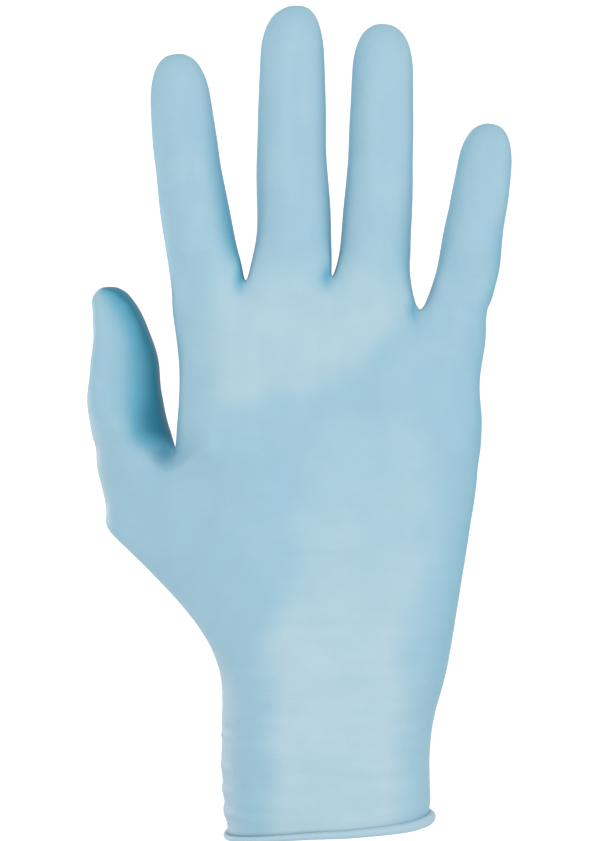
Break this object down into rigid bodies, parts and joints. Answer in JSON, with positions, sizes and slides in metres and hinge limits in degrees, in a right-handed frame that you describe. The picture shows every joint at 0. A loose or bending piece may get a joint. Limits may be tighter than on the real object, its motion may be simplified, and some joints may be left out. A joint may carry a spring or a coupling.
{
  "type": "nitrile exam glove",
  "caption": "Thin pale blue disposable glove in a hand's form, with fingers, thumb, palm and a cuff that ends in a rolled bead.",
  "frame": {"origin": "centre of the wrist opening, level with the lowest point of the rolled bead", "axes": "+Z from the cuff to the fingertips, +X to the little finger's side, +Y to the palm side"},
  "size_m": [0.1235, 0.0494, 0.2405],
  "materials": {
    "nitrile_film": "satin"
  },
  "bodies": {
    "root": {"glove_film": "nitrile_film"}
  },
  "joints": []
}
